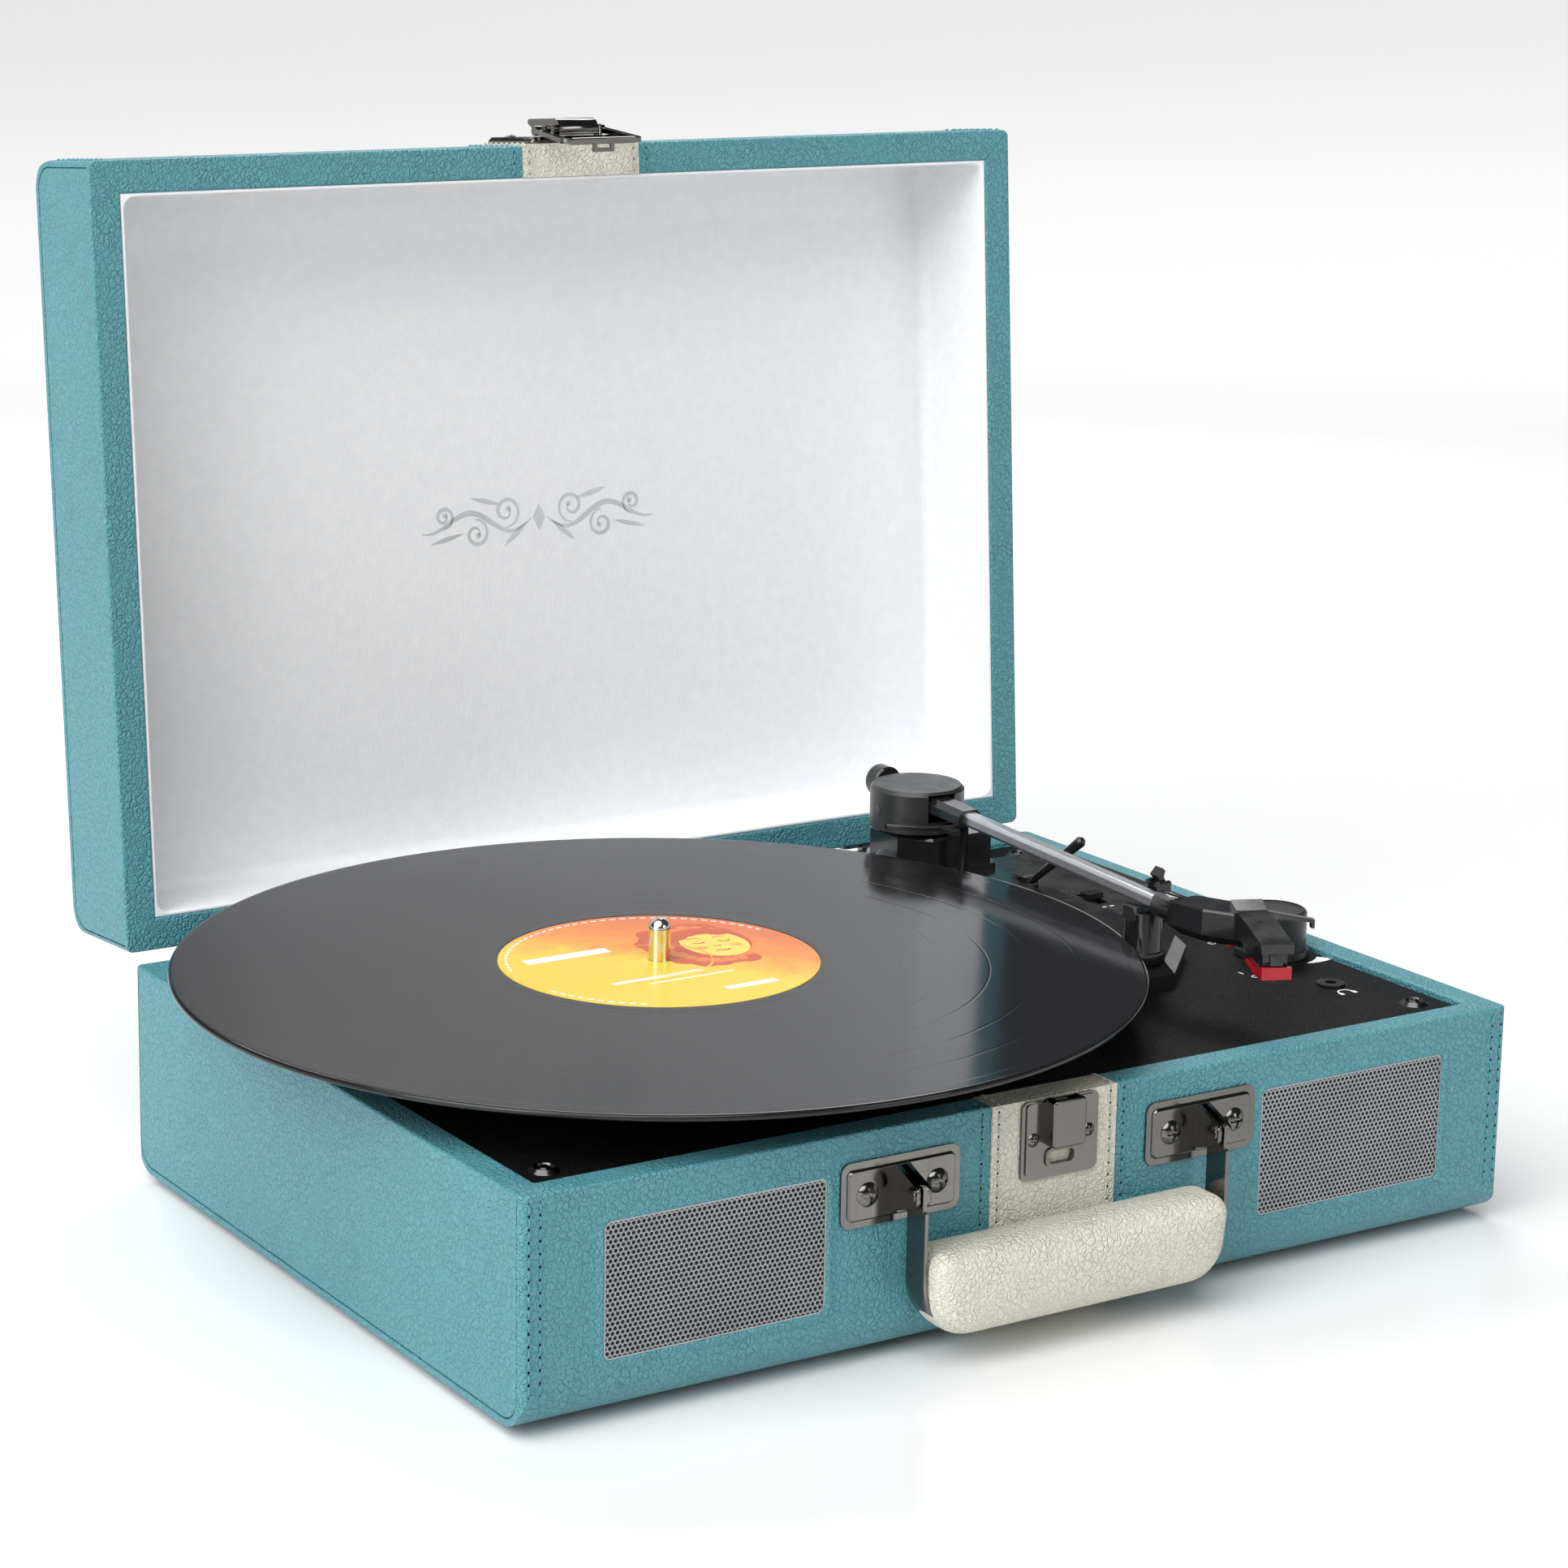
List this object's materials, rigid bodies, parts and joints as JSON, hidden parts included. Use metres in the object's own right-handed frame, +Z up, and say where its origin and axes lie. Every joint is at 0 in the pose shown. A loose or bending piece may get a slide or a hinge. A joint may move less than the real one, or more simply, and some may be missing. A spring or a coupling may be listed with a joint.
{
  "type": "suitcase record player",
  "caption": "Portable electric record player in a small leatherette suitcase: hinged open lid, belt-driven platter with a long-playing record, tonearm on its rest, carrying handle.",
  "frame": {"origin": "under the middle of the whole part, on the table, with the lid and the record counted", "axes": "+X along the case's long front edge to the right, +Y to the back where the lid is hinged, +Z up along the spindle"},
  "size_m": [0.3846, 0.3421, 0.3337],
  "materials": {
    "teal_leatherette": "pebble grain, satin",
    "cream_leatherette": "pebble grain, satin",
    "case_board": "raw",
    "deck_black": "fine speckled texture",
    "nickel": "bright plated",
    "foot_rubber": "matt",
    "grille_steel": "perforated sheet",
    "pressed_steel": "plain",
    "cone_paper": "matt",
    "bright_steel": "polished",
    "bronze": "plain",
    "board_green": "solder mask",
    "satin_black": "satin",
    "gloss_black": "moulded gloss",
    "led_red": "tinted",
    "felt_black": "felt",
    "vinyl": "grooved gloss",
    "label_paper": "printed paper",
    "tube_silver": "satin",
    "stylus_red": "moulded",
    "lining_white": "brushed lining"
  },
  "bodies": {
    "base": {"base_cover": "teal_leatherette", "base_carcass": "case_board", "base_side_panels": "teal_leatherette", "base_front_band": "cream_leatherette", "top_plate": "deck_black", "cup_washers": "nickel", "plate_screws": "nickel", "rubber_feet": "foot_rubber", "hinge_base_leaves": "nickel", "latch_catch": "nickel", "handle_brackets": "nickel", "handle_pins": "nickel", "front_screws": "nickel", "speaker_grille_left": "grille_steel", "speaker_grille_right": "grille_steel", "speaker_baskets": "pressed_steel", "speaker_cones": "cone_paper", "spindle": "bright_steel", "spindle_bush": "bronze", "motor_can": "pressed_steel", "drive_belt": "foot_rubber", "circuit_board": "board_green", "rear_socket_panel": "satin_black", "volume_potentiometer": "pressed_steel", "power_led": "led_red", "headphone_jack": "satin_black", "slide_switch_bodies": "satin_black", "control_console": "satin_black", "tonearm_base": "gloss_black", "arm_rest_post": "gloss_black"},
    "turning_platter": {"platter": "satin_black", "slipmat": "felt_black"},
    "pulley": {"motor_pulley": "bright_steel"},
    "disc": {"record": "vinyl", "record_label": "label_paper"},
    "arm_pivot": {"pivot_housing": "gloss_black", "gimbal_screws": "bright_steel"},
    "tonearm": {"arm_yoke": "gloss_black", "arm_tube": "tube_silver", "counterweight": "gloss_black", "headshell": "gloss_black", "cartridge": "gloss_black", "stylus": "stylus_red"},
    "bridge": {"lift_bridge": "gloss_black"},
    "cueing": {"cue_lever": "gloss_black"},
    "clip": {"rest_clip": "gloss_black"},
    "knob": {"volume_knob": "gloss_black"},
    "speed_slider": {"speed_switch_slider": "satin_black"},
    "stop_slider": {"stop_switch_slider": "satin_black"},
    "lid": {"lid_cover": "teal_leatherette", "lid_carcass": "case_board", "lid_side_panels": "teal_leatherette", "lid_front_band": "cream_leatherette", "lid_liner": "lining_white", "hinge_lid_leaves": "nickel", "latch_plate": "nickel"},
    "lever": {"latch_lever": "nickel"},
    "loop": {"latch_loop": "nickel"},
    "handle": {"handle_strap": "nickel", "handle_grip": "cream_leatherette"}
  },
  "joints": [
    {"name": "lid_hinge", "type": "hinge", "parent": "base", "child": "lid", "pos_m": [0.0148, 0.1078, 0.0692], "axis": [-1, 0, 0], "range_deg": [-4, 0]},
    {"name": "platter_spin", "type": "hinge", "parent": "base", "child": "turning_platter", "pos_m": [-0.0415, -0.0202, 0.072], "axis": [0, 0, -1], "continuous": true},
    {"name": "motor_spin", "type": "hinge", "parent": "base", "child": "pulley", "pos_m": [0.0065, -0.0842, 0.072], "axis": [0, 0, -1], "continuous": true},
    {"name": "record_lift", "type": "slide", "parent": "turning_platter", "child": "disc", "axis": [0, 0, 1], "range_m": [0, 0.02]},
    {"name": "tonearm_swing", "type": "hinge", "parent": "base", "child": "arm_pivot", "pos_m": [0.1157, 0.0661, 0.0985], "axis": [0, 0, 1], "range_deg": [-42, 0]},
    {"name": "tonearm_lift", "type": "hinge", "parent": "arm_pivot", "child": "tonearm", "pos_m": [0.1157, 0.0661, 0.0985], "axis": [-0.9995, 0.0332, 0], "range_deg": [0, 2.5]},
    {"name": "bridge_lift", "type": "slide", "parent": "base", "child": "bridge", "axis": [0, 0, 1], "range_m": [0, 0.00105]},
    {"name": "cue_lever_turn", "type": "hinge", "parent": "base", "child": "cueing", "pos_m": [0.1373, 0.0294, 0.0755], "axis": [-1, 0, 0], "range_deg": [0, 50]},
    {"name": "clip_turn", "type": "hinge", "parent": "base", "child": "clip", "pos_m": [0.11749, -0.06683, 0.1002], "axis": [0, 1, 0], "range_deg": [-50, 0]},
    {"name": "volume_turn", "type": "hinge", "parent": "base", "child": "knob", "pos_m": [0.1701, -0.061, 0.069], "axis": [0, 0, -1], "range_deg": [-140, 140]},
    {"name": "speed_slide", "type": "slide", "parent": "base", "child": "speed_slider", "axis": [0, 1, 0], "range_m": [-0.004, 0.004]},
    {"name": "stop_slide", "type": "slide", "parent": "base", "child": "stop_slider", "axis": [0, 1, 0], "range_m": [-0.004, 0.004]},
    {"name": "handle_swing", "type": "hinge", "parent": "base", "child": "handle", "pos_m": [0.0148, -0.1586, 0.0532], "axis": [-1, 0, 0], "range_deg": [0, 85]},
    {"name": "latch_lever_turn", "type": "hinge", "parent": "lid", "child": "lever", "pos_m": [0.0148, 0.13279, 0.32978], "axis": [1, 0, 0], "range_deg": [0, 120]},
    {"name": "latch_loop_turn", "type": "hinge", "parent": "lever", "child": "loop", "pos_m": [0.0148, 0.13629, 0.32953], "axis": [-1, 0, 0], "range_deg": [0, 120]}
  ],
  "couplings": [
    {"joint": "motor_spin", "follows": "platter_spin", "ratio": 11.364},
    {"joint": "latch_loop_turn", "follows": "latch_lever_turn", "ratio": 1},
    {"joint": "tonearm_lift", "follows": "cue_lever_turn", "ratio": 0.049995},
    {"joint": "bridge_lift", "follows": "cue_lever_turn", "m_per_rad": 0.0012006}
  ]
}
